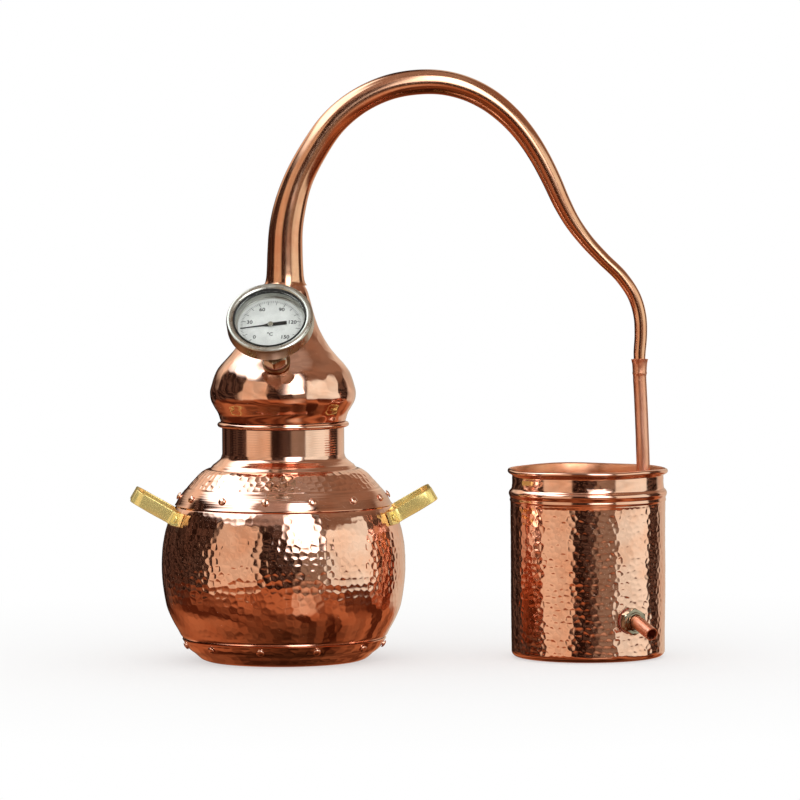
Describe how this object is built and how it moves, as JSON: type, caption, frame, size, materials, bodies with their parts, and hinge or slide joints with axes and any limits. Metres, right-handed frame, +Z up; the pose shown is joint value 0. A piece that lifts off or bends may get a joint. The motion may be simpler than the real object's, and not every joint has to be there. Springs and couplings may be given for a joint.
{
  "type": "alembic still",
  "caption": "Small hammered copper pot still: riveted pot with brass handles, onion hood and swan neck, dial thermometer, and a bucket condenser with a coil and spout.",
  "frame": {"origin": "pot axis at the underside of the pot's base, where it stands", "axes": "+Z up, +X from the pot's axis to the condenser's axis, -Y towards the front, the side the thermometer faces"},
  "size_m": [0.3788, 0.1847, 0.4136],
  "materials": {
    "copper": "polished copper, hammered on the belly, shoulder, hood and bucket",
    "copper_matte": "drawn copper tube, satin",
    "brass": "polished brass",
    "nickel": "nickel-plated brass",
    "steel": "bright stainless steel",
    "bimetal": "bare bimetal strip",
    "aluminium": "bright",
    "dial_white": "white enamel with black print",
    "needle_black": "black paint",
    "black_rubber": "black rubber",
    "fibre": "red fibre sealing washer",
    "glass": "clear"
  },
  "bodies": {
    "pot": {"pot_base": "copper", "pot_belly": "copper", "pot_shoulder": "copper", "pot_collar": "copper", "handle_left": "brass", "handle_right": "brass", "handle_rivet_1": "brass", "handle_rivet_2": "brass", "handle_rivet_3": "brass", "handle_rivet_4": "brass", "shoulder_rivet_01": "copper", "shoulder_rivet_02": "copper", "shoulder_rivet_03": "copper", "shoulder_rivet_04": "copper", "shoulder_rivet_05": "copper", "shoulder_rivet_06": "copper", "shoulder_rivet_07": "copper", "shoulder_rivet_08": "copper", "shoulder_rivet_09": "copper", "shoulder_rivet_10": "copper", "shoulder_rivet_11": "copper", "shoulder_rivet_12": "copper", "shoulder_rivet_13": "copper", "shoulder_rivet_14": "copper", "base_rivet_01": "copper", "base_rivet_02": "copper", "base_rivet_03": "copper", "base_rivet_04": "copper", "base_rivet_05": "copper", "base_rivet_06": "copper", "base_rivet_07": "copper", "base_rivet_08": "copper", "base_rivet_09": "copper", "base_rivet_10": "copper", "base_rivet_11": "copper"},
    "condenser": {"bucket": "copper", "coil": "copper_matte", "outlet_bush": "nickel", "outlet_locknut": "nickel", "outlet_washer_outer": "fibre", "outlet_washer_inner": "fibre"},
    "hood": {"hood_skirt": "copper", "hood_dome": "copper", "swan_neck": "copper", "thermometer_boss": "brass"},
    "seal": {"thermometer_washer": "fibre"},
    "thermometer": {"thermometer_stem": "steel", "thermometer_case": "steel", "thermometer_bezel": "steel", "thermometer_gasket": "black_rubber", "thermometer_glass": "glass", "dial_ring": "aluminium", "dial_plate": "dial_white"},
    "needle": {"pointer": "needle_black", "pointer_shaft": "steel", "bimetal_helix": "bimetal"}
  },
  "joints": [
    {"name": "condenser_swing", "type": "hinge", "parent": "pot", "child": "condenser", "pos_m": [0, 0, 0], "axis": [0, 0, 1], "continuous": true},
    {"name": "hood_lift", "type": "slide", "parent": "condenser", "child": "hood", "axis": [0, 0, 1], "range_m": [0, 0.12]},
    {"name": "seal_rise", "type": "slide", "parent": "hood", "child": "seal", "axis": [-0.1066, -0.7586, 0.6428], "range_m": [0, 0.0054]},
    {"name": "thermometer_turn", "type": "hinge", "parent": "seal", "child": "thermometer", "pos_m": [-0.00571, -0.04065, 0.2105], "axis": [-0.1066, -0.7586, 0.6428], "range_deg": [0, 1440]},
    {"name": "needle_turn", "type": "hinge", "parent": "thermometer", "child": "needle", "pos_m": [-0.00571, -0.04065, 0.2105], "axis": [0.1066, 0.7586, -0.6428], "range_deg": [-36, 234], "stiffness_Nm_per_rad": 0.0001}
  ],
  "couplings": [
    {"joint": "seal_rise", "follows": "thermometer_turn", "m_per_rad": 0.00021279}
  ]
}
